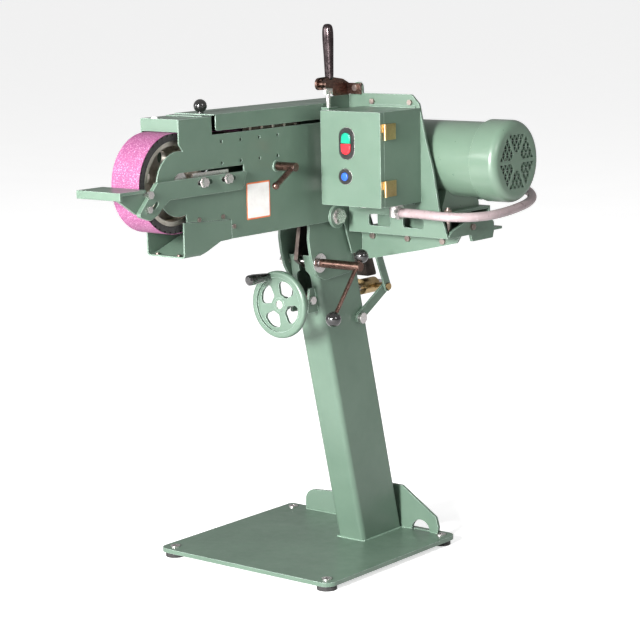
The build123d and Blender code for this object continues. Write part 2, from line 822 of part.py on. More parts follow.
with BuildPart() as motor_endbells:
    rod_x(104, 130, drive_y, drive_z, motor_r - 1.5, bore=17.1)
    rod_x(130, 138, drive_y, drive_z, 75.9, bore=17.1)
    fillet(motor_endbells.edges().filter_by(GeomType.CIRCLE).sort_by(Axis.X)[0:2].sort_by(Edge.length)[-1], 8)
    rod_x(362, 373.6, drive_y, drive_z, 75.9, bore=17.1)
    rod_x(373.6, 382, drive_y, drive_z, 86.8, bore=17.1)
    for x0 in (108, 364):
        rod_x(x0, x0 + 12, drive_y, drive_z, 17, bore=8.05)
save(motor_endbells.part, "motor_endbells")

with BuildPart() as motor_rotor:
    rod_x(-42, 410, drive_y, drive_z, 8.0)
    rod_x(180, 320, drive_y, drive_z, 45)
save(motor_rotor.part, "motor_rotor")

fan_blades = 8
with BuildPart() as motor_fan:
    rod_x(390, 394, drive_y, drive_z, 66, bore=8.02)
    rod_x(390, 412, drive_y, drive_z, 15, bore=8.02)
    for i in range(fan_blades):
        turn = 360 * i / fan_blades
        blade_plane = plane_x(394)
        with BuildSketch(blade_plane) as blade_face:
            with Locations(Location((drive_y, drive_z, 0), (0, 0, turn))):
                with Locations((38, 0)):
                    Rectangle(50, 3)
        extrude(to_extrude=blade_face.sketch, amount=20)
save(motor_fan.part, "motor_fan")

# fan cover: six sectors of small triangular vents round a plain centre
cover_x0, cover_x1 = 373.7, 437.6
vent_side, vent_rows, vent_start = 15.0, 4, 6.5
vent_row_h = vent_side * math.sqrt(3) / 2
vent_r = vent_side * 0.5
with BuildPart() as fan_cover:
    rod_x(cover_x0, cover_x1, drive_y, drive_z, cover_r)
    rim = fan_cover.edges().filter_by(GeomType.CIRCLE).sort_by(Axis.X)[-1]
    fillet(rim, 17)
    rod_x(cover_x0, cover_x1 - 18, drive_y, drive_z, cover_r - 2, Mode.SUBTRACT)
    rod_x(cover_x0, cover_x1 - 3, drive_y, drive_z, cover_r - 17, Mode.SUBTRACT)
    with BuildSketch(plane_x(cover_x1 - 4)) as vents:
        for sector in range(6):
            turn = 60 * sector + 30
            with Locations(Location((drive_y, drive_z, 0), (0, 0, turn))):
                for row in range(1, vent_rows):
                    low = vent_start + row * vent_row_h
                    outward = [
                        (low + vent_row_h * 2 / 3, (k - row / 2) * vent_side)
                        for k in range(row + 1)
                    ]
                    inward = [
                        (low + vent_row_h / 3, (k - (row - 1) / 2) * vent_side)
                        for k in range(row)
                    ]
                    with Locations(*outward):
                        RegularPolygon(vent_r, 3, rotation=180)
                    with Locations(*inward):
                        RegularPolygon(vent_r, 3)
    extrude(to_extrude=vents.sketch, amount=6, mode=Mode.SUBTRACT)
save(fan_cover.part, "fan_cover")

with BuildPart() as conduit_box:
    block(225, 297, 723, 812, 802, 872)
    block(228, 294, 740, 809, 805, 869, Mode.SUBTRACT)
    rod_x(220, 300, drive_y, drive_z, motor_r + 0.1, Mode.SUBTRACT)
save(conduit_box.part, "conduit_box")

# ---------------------------------------------------------------- conduit

conduit_r = 10.0
elbow_x, elbow_y, elbow_z = 223.0, 500.0, 793.0
conduit_points = [
    (240, 500, 793),
    (294, 500, 793),
    (348, 496, 791),
    (398, 512, 790.5),
    (426, 556, 791),
    (433, 610, 794),
    (431, 664, 798),
    (425, 716, 803),
    (409, 762, 812),
    (370, 788, 826),
    (318, 788, 826),
]


def route_radii(points):
    """The largest arc that each corner's two runs allow."""
    radii = []
    for before, here, after in zip(points, points[1:], points[2:]):
        arriving = Vector(here) - Vector(before)
        leaving = Vector(after) - Vector(here)
        half_turn = math.radians(arriving.get_angle(leaving)) / 2
        shorter = min(arriving.length, leaving.length)
        radii.append(0.45 * shorter / math.tan(half_turn))
    return radii


with BuildPart() as conduit:
    radii = route_radii(conduit_points)
    print("conduit radii", [round(r) for r in radii])
    with BuildLine() as conduit_line:
        FilletPolyline(*[at(*point) for point in conduit_points], radius=radii)
    start_plane = Plane(origin=conduit_line.line @ 0, z_dir=conduit_line.line % 0)
    with BuildSketch(start_plane) as conduit_face:
        Circle(conduit_r)
    sweep(sections=conduit_face.sketch, path=conduit_line.line)
    section = math.pi * conduit_r**2
    length = sum(edge.length for edge in conduit_line.edges())
    print("conduit length", length, "volume ratio", conduit.part.volume / section / length)
save(conduit.part, "conduit")

with BuildPart() as conduit_fittings:
    rod_z(783, 812.2, elbow_x, elbow_y, 13)
    rod_x(elbow_x, 240, elbow_y, elbow_z, 13)
    hexagon(plane_z(806), (elbow_x, elbow_y), 32, 6.2)
    hex_x(233, 239.9, elbow_y, elbow_z, 28)
    rod_z(812.2, 822, elbow_x, elbow_y, 10.4)
    rod_x(297.1, 318, 788, 826, 13)
    # gland for the supply cord
    rod_z(796, 822, 125, 520, 10.0, bore=6.0)
    hexagon(plane_z(806), (125, 520), 27, 6.2)
    rod_z(796, 822, 125, 520, 6.0, Mode.SUBTRACT)
save(conduit_fittings.part, "conduit_fittings")

# ---------------------------------------------------------------- electrical box

door_t = 13.9
box_x1, box_y1, box_z1 = box_x + box_w, box_y + box_d, box_z + box_h
shell_t = 2.0
with BuildPart() as enclosure_box:
    block(box_x, box_x1, box_y + door_t + 0.2, box_y1 - 0.1, box_z, box_z1)
    block(
        box_x + shell_t,
        box_x1 - shell_t,
        box_y,
        box_y1 - 0.1 - shell_t,
        box_z + shell_t,
        box_z1 - shell_t,
        Mode.SUBTRACT,
    )
    block(122, 243, 548.3, 551.3, box_z1, 1021)
    block(125, 239, 548.3, 551.3, 806, box_z)
    rod_z(box_z - 1, box_z + 3, elbow_x, elbow_y, 10.5, Mode.SUBTRACT)
    rod_z(box_z - 1, box_z + 3, 125, 520, 10.1, Mode.SUBTRACT)
save(enclosure_box.part, "enclosure_box")

button_x, button_low, button_high = 167.0, 918.0, 976.0
reset_x, reset_z = 162.0, 876.0
with BuildPart() as enclosure_door:
    block(box_x, box_x1, box_y, box_y + door_t, box_z, box_z1)
    upright = enclosure_door.edges().filter_by(Axis.Y)
    fillet(upright, 4)
    block(
        box_x + shell_t,
        box_x1 - shell_t,
        box_y + shell_t,
        box_y + door_t + 1,
        box_z + shell_t,
        box_z1 - shell_t,
        Mode.SUBTRACT,
    )
    block(button_x - 12.6, button_x + 12.6, 400, 410, 923, 971, Mode.SUBTRACT)
    rod_y(400, 410, reset_x, reset_z, 9.2, Mode.SUBTRACT)
save(enclosure_door.part, "enclosure_door")

with BuildPart() as button_bezel:
    sheet_y(
        402.9,
        406.8,
        [
            (button_x - 16, button_low - 2, 15),
            (button_x + 16, button_low - 2, 15),
            (button_x + 16, button_high + 2, 15),
            (button_x - 16, button_high + 2, 15),
        ],
    )
    block(button_x - 12.6, button_x + 12.6, 400, 410, 923, 971, Mode.SUBTRACT)
    rod_y(403.4, 406.8, reset_x, reset_z, 13, bore=9.2)
    block(145, 189, 418, 440, 915, 979)
    block(150, 174, 418, 438, 864, 888)
save(button_bezel.part, "button_bezel")

with BuildPart() as start_button:
    block(button_x - 12.3, button_x + 12.3, 400, 412, 947.4, 970.7)
save(start_button.part, "start_button")

with BuildPart() as stop_button:
    block(button_x - 12.3, button_x + 12.3, 399, 412, 923.3, 946.6)
save(stop_button.part, "stop_button")

with BuildPart() as reset_button:
    rod_y(400.5, 412, reset_x, reset_z, 9.0)
save(reset_button.part, "reset_button")

with BuildPart() as contactor:
    block(125, 215, 480, 549.1, 850, 960)
save(contactor.part, "contactor")

door_pin_x, door_pin_y = 260.2, 418.5
with BuildPart() as box_hinges:
    for z0 in (835, 956):
        block(box_x1 + 0.1, box_x1 + 2.6, 424, 459, z0, z0 + 34)
        rod_z(z0, z0 + 16.9, door_pin_x, door_pin_y, 4.2)
        block(box_x1 + 0.1, box_x1 + 4.5, 421.5, 425, z0, z0 + 16.9)
        rod_z(z0 - 1, z0 + 40, door_pin_x, door_pin_y, 2.05, Mode.SUBTRACT)
    for z0 in (835, 956):
        rod_z(z0 - 0.5, z0 + 34.5, door_pin_x, door_pin_y, 2.0)
save(box_hinges.part, "box_hinges")

with BuildPart() as door_hinges:
    for z0 in (835, 956):
        rod_z(z0 + 17.1, z0 + 34, door_pin_x, door_pin_y, 4.2)
        block(box_x1 + 0.1, box_x1 + 2.6, 408, 419, z0 + 17.1, z0 + 34)
        rod_z(z0 - 1, z0 + 40, door_pin_x, door_pin_y, 2.05, Mode.SUBTRACT)
save(door_hinges.part, "door_hinges")

# ---------------------------------------------------------------- tilt screw and links

with BuildPart() as screw_carrier:
    block(-19.5, 19.5, 441, 463, 575, 603)
    rod_y(440, 464, 0, screw_z, screw_r + 0.1, Mode.SUBTRACT)
    for x0 in (-20, 10.4):
        rod_x(x0, x0 + 9.6, carrier_y, screw_z, 6.05, Mode.SUBTRACT)
save(screw_carrier.part, "screw_carrier")

with BuildPart() as lead_screw:
    rod_y(369, 735, 0, screw_z, screw_r)
    rod_y(433, 440.8, 0, screw_z, 14)
    rod_y(463.2, 468, 0, screw_z, 14)
save(lead_screw.part, "lead_screw")

window_angles = [62, 152, 242, 332]
window_shape = [(23, -24, 6), (53, -31, 9), (57, 0, 30), (53, 31, 9), (23, 24, 6)]
with BuildPart() as handwheel:
    rod_y(367, 392, 0, screw_z, 15, bore=screw_r + 0.02)
    rod_y(369, 376, 0, screw_z, 64, bore=screw_r + 0.02)
    rod_y(363, 379, 0, screw_z, handwheel_r, bore=61)
    rims = handwheel.edges().filter_by(GeomType.CIRCLE)
    rims = rims.filter_by(lambda edge: edge.radius > handwheel_r - 1)
    fillet(rims, 6)
    for window in window_angles:
        corners = []
        for reach, swing, corner_r in window_shape:
            angle = math.radians(window + swing)
            corners.append((reach * math.cos(angle), screw_z + reach * math.sin(angle), corner_r))
        sheet_y(362, 380, corners, Mode.SUBTRACT)
    rod_y(296.8, 362.9, crank_x, crank_pin_z, 4.0)
save(handwheel.part, "handwheel")

crank_plane = Plane(origin=at(crank_x, 0, crank_pin_z), x_dir=(0, 1, 0), z_dir=(1, 0, 0))
crank_profile = [
    (361, 4.06),
    (361, 8),
    (340, 10),
    (312, 12),
    (298, 11.5),
    (294.5, 7.5),
    (294.5, 0),
    (296.6, 0),
    (296.6, 4.06),
    (361, 4.06),
]
with BuildPart() as crank_handle:
    with BuildSketch(crank_plane) as grip:
        with BuildLine():
            Polyline(*crank_profile)
        make_face()
    revolve(profiles=grip.sketch, axis=Axis(at(crank_x, 0, crank_pin_z), (0, 1, 0)))
save(crank_handle.part, "crank_handle")

with BuildPart() as screw_nut:
    rod_y(660, 712, 0, screw_z, 18)
    for x0, x1 in ((-53, -12), (12, 53)):
        rod_x(x0, x1, link_knee[0], screw_z, 8.0)
    rod_y(659, 713, 0, screw_z, screw_r + 0.1, Mode.SUBTRACT)
save(screw_nut.part, "screw_nut")

with BuildPart() as lower_links:
    for x0 in (-44.6, 39.0):
        link_bar(x0, x0 + 5.6, link_low, link_knee, 22, 8.05, 9.9)
save(lower_links.part, "lower_links")

with BuildPart() as upper_links:
    for x0 in (-49.2, 45.2):
        link_bar(x0, x0 + 4, link_knee, link_up, 22, 9.9, 8.05)
save(upper_links.part, "upper_links")

with BuildPart() as link_spreader:
    sheet_x(-18, 18, [(640, 700, 4), (664, 615, 4), (700, 615, 4), (664, 712, 4)])
    rod_x(-45.1, 45.1, 653, 700, 6)
save(link_spreader.part, "link_spreader")

# ---------------------------------------------------------------- tilt lock lever

lever_x = 150.0
lever_ball_places = [(370, 570, 17), (473, 695, 15.5)]
with BuildPart() as lock_lever:
    rod_x(51.5, 160, lock_y, lock_z, 10)
    rod_between((lever_x, 370, 570), (lever_x, 473, 695), 4.5)
    rod_x(50, 72, lock_y, lock_z, 6.05, Mode.SUBTRACT)
    for y, z, r in lever_ball_places:
        with Locations(at(lever_x, y, z)):
            Sphere(r + 0.05, mode=Mode.SUBTRACT)
save(lock_lever.part, "lock_lever")

with BuildPart() as lever_balls:
    for y, z, r in lever_ball_places:
        ball(lever_x, y, z, r)
save(lever_balls.part, "lever_balls")
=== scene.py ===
import math

import bmesh
import bpy
from mathutils import Matrix, Vector


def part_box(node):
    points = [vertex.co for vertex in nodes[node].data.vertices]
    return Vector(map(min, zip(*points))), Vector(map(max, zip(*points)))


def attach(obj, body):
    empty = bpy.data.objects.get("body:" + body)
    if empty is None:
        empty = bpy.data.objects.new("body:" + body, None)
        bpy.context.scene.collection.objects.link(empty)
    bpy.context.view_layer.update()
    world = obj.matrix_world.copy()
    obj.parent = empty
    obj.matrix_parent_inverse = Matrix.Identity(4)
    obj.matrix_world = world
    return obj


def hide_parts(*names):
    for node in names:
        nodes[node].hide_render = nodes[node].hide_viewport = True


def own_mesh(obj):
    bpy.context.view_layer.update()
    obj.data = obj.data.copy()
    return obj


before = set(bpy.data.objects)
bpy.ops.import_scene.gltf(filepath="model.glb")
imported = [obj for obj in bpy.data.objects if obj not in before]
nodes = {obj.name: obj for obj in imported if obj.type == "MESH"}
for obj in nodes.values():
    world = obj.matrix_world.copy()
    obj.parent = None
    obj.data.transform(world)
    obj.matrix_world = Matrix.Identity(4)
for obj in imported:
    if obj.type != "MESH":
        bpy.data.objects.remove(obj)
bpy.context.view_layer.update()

scene = bpy.context.scene


# ---------------------------------------------------------------- camera

CAMERA_PLACE = Vector((2.95037, -3.60297, 1.35390))
CAMERA_TURN = math.radians(38.870)
CAMERA_DROP = math.radians(9.870)
CAMERA_ROLL = math.radians(-1.12)

forward = Vector(
    (
        -math.sin(CAMERA_TURN) * math.cos(CAMERA_DROP),
        math.cos(CAMERA_TURN) * math.cos(CAMERA_DROP),
        -math.sin(CAMERA_DROP),
    )
)
level = Vector((math.cos(CAMERA_TURN), math.sin(CAMERA_TURN), 0))
above = level.cross(forward)
right = level * math.cos(CAMERA_ROLL) + above * math.sin(CAMERA_ROLL)
upward = above * math.cos(CAMERA_ROLL) - level * math.sin(CAMERA_ROLL)

camera_data = bpy.data.cameras.new("camera")
camera_data.lens = 116.03
camera_data.sensor_width = 36
camera_data.clip_end = 400
camera = bpy.data.objects.new("camera", camera_data)
scene.collection.objects.link(camera)
turn = Matrix((right, upward, -forward)).transposed().to_4x4()
camera.matrix_world = Matrix.Translation(CAMERA_PLACE) @ turn
scene.camera = camera


# ---------------------------------------------------------------- materials

NONE, FULL = (0, 0, 0), (1, 1, 1)
EDGE_SAMPLES = 6


class Shader:
    """A node material under construction, in the coordinates of the shared frame."""

    def __init__(self, name):
        self.material = bpy.data.materials.new(name)
        self.material.use_nodes = True
        self.tree = self.material.node_tree
        self.tree.nodes.clear()
        self.out = self.add("ShaderNodeOutputMaterial")
        self.bsdf = self.add("ShaderNodeBsdfPrincipled")
        self.join(self.bsdf.outputs[0], self.out.inputs[0])
        self.place = self.add("ShaderNodeTexCoord").outputs["Object"]

    def add(self, kind, **values):
        node = self.tree.nodes.new(kind)
        for key, value in values.items():
            setattr(node, key, value)
        return node

    def join(self, source, target):
        self.tree.links.new(source, target)

    def stretched(self, scale):
        """The object's coordinates, scaled along each axis."""
        mapping = self.add("ShaderNodeMapping")
        mapping.inputs["Scale"].default_value = scale
        self.join(self.place, mapping.inputs["Vector"])
        return mapping.outputs[0]

    def noise(self, scale, detail=3.0, roughness=0.55, place=None):
        """Soft noise with this many features a metre."""
        node = self.add("ShaderNodeTexNoise")
        node.inputs["Scale"].default_value = scale
        node.inputs["Detail"].default_value = detail
        node.inputs["Roughness"].default_value = roughness
        self.join(place or self.place, node.inputs["Vector"])
        return node.outputs["Fac"]

    def cells(self, scale, place=None):
        """Grains, this many a metre."""
        node = self.add("ShaderNodeTexVoronoi")
        node.inputs["Scale"].default_value = scale
        self.join(place or self.place, node.inputs["Vector"])
        return node

    def ramp(self, value, stops):
        """A colour ramp with stops given as (position, colour)."""
        node = self.add("ShaderNodeValToRGB")
        band = node.color_ramp
        while len(band.elements) < len(stops):
            band.elements.new(0.5)
        for element, (at, colour) in zip(band.elements, stops):
            element.position = at
            element.color = (*colour, 1)
        self.join(value, node.inputs[0])
        return node.outputs[0]

    def span(self, value, low, high, start=0.3, end=0.7):
        """value, which runs from start to end, spread over low to high."""
        node = self.add("ShaderNodeMapRange")
        node.inputs["From Min"].default_value = start
        node.inputs["From Max"].default_value = end
        node.inputs["To Min"].default_value = low
        node.inputs["To Max"].default_value = high
        self.join(value, node.inputs["Value"])
        return node.outputs[0]

    def mix(self, share, first, second):
        """Two colours, each a constant or a socket, mixed by a share."""
        node = self.add("ShaderNodeMix", data_type="RGBA")
        self.join(share, node.inputs[0])
        for value, slot in ((first, node.inputs[6]), (second, node.inputs[7])):
            if isinstance(value, tuple):
                slot.default_value = (*value, 1)
            else:
                self.join(value, slot)
        return node.outputs[2]

    def edges(self, radius, start=0.04, end=0.3):
        """A mask that is 1 along edges and 0 on open faces, and the rounded normal."""
        round_off = self.add("ShaderNodeBevel", samples=EDGE_SAMPLES)
        round_off.inputs["Radius"].default_value = radius
        true = self.add("ShaderNodeNewGeometry").outputs["Normal"]
        dot = self.add("ShaderNodeVectorMath", operation="DOT_PRODUCT")
        self.join(round_off.outputs[0], dot.inputs[0])
        self.join(true, dot.inputs[1])
        bent = self.add("ShaderNodeMath", operation="SUBTRACT")
        bent.inputs[0].default_value = 1.0
        self.join(dot.outputs["Value"], bent.inputs[1])
        return self.span(bent.outputs[0], 0.0, 1.0, start, end), round_off.outputs[0]

    def bump(self, height, strength, distance, normal=None):
        node = self.add("ShaderNodeBump")
        node.inputs["Strength"].default_value = strength
        node.inputs["Distance"].default_value = distance
        self.join(height, node.inputs["Height"])
        if normal is not None:
            self.join(normal, node.inputs["Normal"])
        return node.outputs[0]

    def finish(self, colour, rough, normal, **sockets):
        """Joins up the shader. Constants go straight onto its sockets."""
        self.join(colour, self.bsdf.inputs["Base Color"])
        self.join(rough, self.bsdf.inputs["Roughness"])
        if normal is not None:
            self.join(normal, self.bsdf.inputs["Normal"])
        for key, value in sockets.items():
            self.bsdf.inputs[key.replace("_", " ")].default_value = value
        return self.material


DUST_SHARE = 0.12
DUST_BRIGHTER = 1.7


def painted(name, dark, light, edge_highlight, rough, coat, peel=0.25, edge_radius=0.0017):
    """Sprayed paint: slight patches, dust, orange peel, and pale edges that are a painted
    highlight, broken up in patches.
    """
    s = Shader(name)
    patches = s.ramp(s.noise(7.0, 5.0, 0.6), [(0.3, dark), (0.7, light)])
    dust = s.ramp(s.noise(140.0, 4.0, 0.7), [(0.62, NONE), (0.8, FULL)])
    soft = s.add("ShaderNodeMath", operation="MULTIPLY")
    soft.inputs[1].default_value = DUST_SHARE
    s.join(dust, soft.inputs[0])
    dusty = s.mix(soft.outputs[0], patches, tuple(min(1, v * DUST_BRIGHTER) for v in light))
    # pale colour painted along every edge as a highlight, broken up in patches by noise
    edge, rounded = s.edges(edge_radius, 0.03, 0.2)
    highlit_edges = s.add("ShaderNodeMath", operation="MULTIPLY")
    s.join(edge, highlit_edges.inputs[0])
    s.join(s.span(s.noise(60.0, 4.0, 0.7), 0.35, 1.0), highlit_edges.inputs[1])
    colour = s.mix(highlit_edges.outputs[0], dusty, edge_highlight)
    roughness = s.span(s.noise(35.0, 4.0), rough - 0.07, rough + 0.09)
    normal = s.bump(s.noise(420.0, 2.0, 0.5), peel, 0.0004, rounded)
    return s.finish(colour, roughness, normal, Coat_Weight=coat, Coat_Roughness=0.18)


def metal(name, dark, light, rough, grain=(60, 60, 60), depth=0.1, metallic=1.0, edge=None):
    """Bare or plated metal with a fine grain, and brighter edges, a painted highlight, where edge
    is given.
    """
    s = Shader(name)
    colour = s.ramp(s.noise(45.0, 5.0, 0.65), [(0.3, dark), (0.7, light)])
    bent, rounded = s.edges(0.0005)
    # the edge colour is a painted highlight along every edge
    if edge is not None:
        colour = s.mix(bent, colour, edge)
    lines = s.noise(12.0, 4.0, 0.6, s.stretched(grain))
    roughness = s.span(lines, rough - 0.08, rough + 0.12)
    normal = s.bump(lines, depth, 0.0003, rounded)
    return s.finish(colour, roughness, normal, Metallic=metallic)


def moulded(name, dark, light, rough, coat=0.0, scale=900.0, depth=0.2):
    """Moulded plastic or phenolic with softened edges."""
    s = Shader(name)
    colour = s.ramp(s.noise(70.0, 4.0, 0.6), [(0.3, dark), (0.7, light)])
    roughness = s.span(s.noise(50.0, 4.0), rough - 0.06, rough + 0.08)
    _, rounded = s.edges(0.0006)
    normal = s.bump(s.noise(scale, 2.0), depth, 0.0002, rounded)
    return s.finish(colour, roughness, normal, Coat_Weight=coat, Coat_Roughness=0.08)


def abrasive(name):
    """Coated abrasive: coloured grains, patches faded by wear, and pale specks painted as glints
    off the grains.
    """
    s = Shader(name)
    grain = s.cells(1500.0)
    tone = s.ramp(
        grain.outputs["Distance"],
        [(0.0, (0.10, 0.008, 0.055)), (0.45, (0.19, 0.030, 0.115)), (0.8, (0.30, 0.085, 0.20))],
    )
    patches = s.noise(26.0, 5.0, 0.7)
    faded = s.mix(s.span(patches, 0.0, 0.55), tone, (0.21, 0.062, 0.145))
    # pale specks painted into the colour as glints off the grains
    glint_specks = s.ramp(s.noise(430.0, 2.0, 0.6), [(0.57, NONE), (0.64, (0.5, 0.5, 0.5))])
    colour = s.mix(glint_specks, faded, (0.72, 0.50, 0.64))
    roughness = s.span(s.noise(700.0, 2.0), 0.45, 0.85)
    normal = s.bump(grain.outputs["Distance"], 0.7, 0.0006)
    return s.finish(colour, roughness, normal)


def rubber(name, dark, light):
    """Matt rubber."""
    s = Shader(name)
    colour = s.ramp(s.noise(120.0, 5.0, 0.7), [(0.3, dark), (0.75, light)])
    roughness = s.span(s.noise(80.0, 3.0), 0.6, 0.9)
    normal = s.bump(s.noise(600.0, 3.0, 0.6), 0.35, 0.0004)
    return s.finish(colour, roughness, normal)


def jacket(name):
    """The conduit's smooth vinyl jacket, scuffed in places."""
    s = Shader(name)
    colour = s.ramp(s.noise(30.0, 4.0), [(0.3, (0.23, 0.18, 0.185)), (0.7, (0.31, 0.25, 0.255))])
    scuffs = s.ramp(s.noise(160.0, 5.0, 0.7), [(0.6, NONE), (0.75, FULL)])
    colour = s.mix(scuffs, colour, (0.40, 0.36, 0.365))
    roughness = s.span(s.noise(60.0, 3.0), 0.24, 0.42)
    normal = s.bump(s.noise(300.0, 2.0), 0.15, 0.0004)
    return s.finish(colour, roughness, normal, Coat_Weight=0.3, Coat_Roughness=0.15)


GREEN_DARK = (0.074, 0.122, 0.088)
GREEN_LIGHT = (0.094, 0.148, 0.109)
# pale colour painted along edges as a highlight
GREEN_EDGE_HIGHLIGHT = (0.50, 0.62, 0.55)
looks = {
    "green_paint": painted("green_paint_look", GREEN_DARK, GREEN_LIGHT, GREEN_EDGE_HIGHLIGHT, 0.42, 0.25),
    "zinc_steel": metal("zinc_steel_look", (0.70, 0.66, 0.65), (0.88, 0.84, 0.83), 0.24),
    "dark_steel": metal(
        # the edge colour is a painted edge highlight
        "dark_steel_look", (0.035, 0.028, 0.025), (0.10, 0.08, 0.07), 0.36, edge=(0.35, 0.31, 0.29)
    ),
    "black_phenolic": moulded(
        "black_phenolic_look", (0.006, 0.006, 0.006), (0.012, 0.011, 0.011), 0.14, 1.0, depth=0.02
    ),
    "foot_rubber": rubber("foot_rubber_look", (0.012, 0.012, 0.012), (0.035, 0.034, 0.033)),
    "tyre_rubber": rubber("tyre_rubber_look", (0.010, 0.010, 0.010), (0.030, 0.028, 0.028)),
    "cast_aluminium": metal(
        "cast_aluminium_look", (0.50, 0.46, 0.40), (0.74, 0.69, 0.62), 0.42, (260, 260, 260), 0.25
    ),
    "abrasive_belt": abrasive("abrasive_belt_look"),
    "black_plastic": moulded(
        "black_plastic_look", (0.010, 0.010, 0.010), (0.022, 0.021, 0.021), 0.35
    ),
    "green_plastic": moulded("green_plastic_look", (0.0, 0.22, 0.13), (0.01, 0.30, 0.19), 0.3, 0.5),
    "red_plastic": moulded("red_plastic_look", (0.52, 0.012, 0.02), (0.66, 0.03, 0.04), 0.3, 0.5),
    "blue_plastic": moulded("blue_plastic_look", (0.01, 0.06, 0.38), (0.02, 0.10, 0.50), 0.3, 0.5),
    "conduit_jacket": jacket("conduit_jacket_look"),
    "fitting_metal": metal(
        "fitting_metal_look", (0.50, 0.47, 0.47), (0.72, 0.69, 0.68), 0.36, (200, 200, 200), 0.2
    ),
    "brass_metal": metal("brass_metal_look", (0.42, 0.29, 0.13), (0.62, 0.45, 0.23), 0.32),
}
motor_paint = painted(
    "motor_paint_look",
    (0.094, 0.148, 0.107),
    (0.112, 0.172, 0.124),
    # colour of the painted edge highlight
    (0.42, 0.52, 0.45),
    rough=0.34,
    coat=0.5,
    peel=0.12,
    edge_radius=0.0007,
)
oxide = metal(
    "oxide_steel_look",
    (0.10, 0.055, 0.045),
    (0.24, 0.15, 0.12),
    0.3,
    (20, 20, 20),
    # painted edge highlight
    edge=(0.55, 0.48, 0.44),
)
dull_screw = metal(
    # the edge colour is a painted edge highlight
    "dull_screw_look", (0.20, 0.15, 0.13), (0.42, 0.35, 0.32), 0.34, edge=(0.7, 0.65, 0.62)
)
# nodes whose finish differs from the rest of their slot
own_looks = {
    "motor_shell": motor_paint,
    "motor_endbells": motor_paint,
    "fan_cover": motor_paint,
    "tension_plate": oxide,
    "tension_handle": oxide,
    "clamp_lever": oxide,
    "lock_lever": oxide,
    "arm_fasteners": dull_screw,
    "mount_bolts": dull_screw,
}
for name, node in nodes.items():
    slot_name = node.data.materials[0].name.split(".")[0]
    look = own_looks.get(name, looks[slot_name])
    for index in range(len(node.material_slots)):
        node.material_slots[index].material = look


# ---------------------------------------------------------------- pieces


def piece(name, mesh, look, body, replaced=()):
    """An object that rides on a body, takes a slot's finish, and may stand for CAD nodes."""
    made = bpy.data.objects.new(name, mesh)
    scene.collection.objects.link(made)
    mesh.materials.clear()
    mesh.materials.append(look)
    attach(made, body)
    if replaced:
        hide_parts(*replaced)
    return made


# the flexible conduit from the switch box to the motor's terminal box
CONDUIT_RADIUS = 0.010
CONDUIT_ROUTE = [
    (0.3115, -0.0413, 0.8150),
    (0.3655, -0.0413, 0.8150),
    (0.4195, -0.0453, 0.8130),
    (0.4695, -0.0293, 0.8125),
    (0.4975, 0.0147, 0.8130),
    (0.5045, 0.0687, 0.8160),
    (0.5025, 0.1227, 0.8200),
    (0.4965, 0.1747, 0.8250),
    (0.4805, 0.2207, 0.8340),
    (0.4415, 0.2467, 0.8480),
    (0.3895, 0.2467, 0.8480),
]
line = bpy.data.curves.new("conduit_jacketed", "CURVE")
line.dimensions = "3D"
line.bevel_depth = CONDUIT_RADIUS
line.bevel_resolution = 8
line.resolution_u = 10
line.use_fill_caps = True
spline = line.splines.new("NURBS")
spline.points.add(len(CONDUIT_ROUTE) - 1)
for point, place in zip(spline.points, CONDUIT_ROUTE):
    point.co = (*place, 1)
spline.order_u = 3
spline.use_endpoint_u = True
conduit = bpy.data.objects.new("conduit_jacketed", line)
scene.collection.objects.link(conduit)
line.materials.append(looks["conduit_jacket"])
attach(conduit, "head")
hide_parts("conduit")


def ring_mesh(name, rings, closed_ends=True, smooth=True):
    """A skin through rings of the same number of points."""
    mesh = bpy.data.meshes.new(name)
    made = bmesh.new()
    loops = [[made.verts.new(point) for point in ring] for ring in rings]
    count = len(rings[0])
    for low, high in zip(loops, loops[1:]):
        for i in range(count):
            j = (i + 1) % count
            made.faces.new((low[i], low[j], high[j], high[i]))
    if closed_ends:
        made.faces.new(reversed(loops[0]))
        made.faces.new(loops[-1])
    bmesh.ops.recalc_face_normals(made, faces=made.faces)
    for face in made.faces:
        face.smooth = smooth
    made.to_mesh(mesh)
    made.free()
    return mesh


def inset(outline, by):
    """An outline drawn in towards its middle."""
    middle = Vector((sum(p[0] for p in outline), sum(p[1] for p in outline))) / len(outline)
    drawn = []
    for point in outline:
        away = Vector(point) - middle
        drawn.append(middle + away * (1 - by / max(away.length, by)))
    return drawn


# ---------------------------------------------------------------- push buttons


def button_mesh(name, outline, front, back, edge):
    """A cap with a rounded rim and a slightly dished front."""
    steps = (
        (0, back),
        (0, front + edge),
        (0.3 * edge, front + 0.3 * edge),
        (edge, front),
        (2.2 * edge, front + 0.1 * edge),
    )
    rings = [[(x, y, z) for x, z in inset(outline, by)] for by, y in steps]
    return ring_mesh(name, rings)


BUTTON_X, RESET_X, RESET_Z = 0.2385, 0.2335, 0.898
BUTTON_R, RESET_R = 0.0122, 0.0089
BUTTON_DEPTH, BUTTON_EDGE = 0.011, 0.0016
STOP_PROUD, RESET_SUNK = 0.0008, 0.0006
ARC_STEPS = 12


def half_oval(flat_z, arc_z, up):
    """A straight side and a half circle, above it for up = 1 and below it for up = -1."""
    outline = [(BUTTON_X - BUTTON_R, flat_z), (BUTTON_X, flat_z), (BUTTON_X + BUTTON_R, flat_z)]
    for step in range(ARC_STEPS + 1):
        angle = math.pi * step / ARC_STEPS * up
        outline.append((BUTTON_X + BUTTON_R * math.cos(angle), arc_z + BUTTON_R * math.sin(angle)))
    return outline


def circle(x, z, r, count=32):
    turns = [2 * math.pi * i / count for i in range(count)]
    return [(x + r * math.cos(t), z + r * math.sin(t)) for t in turns]


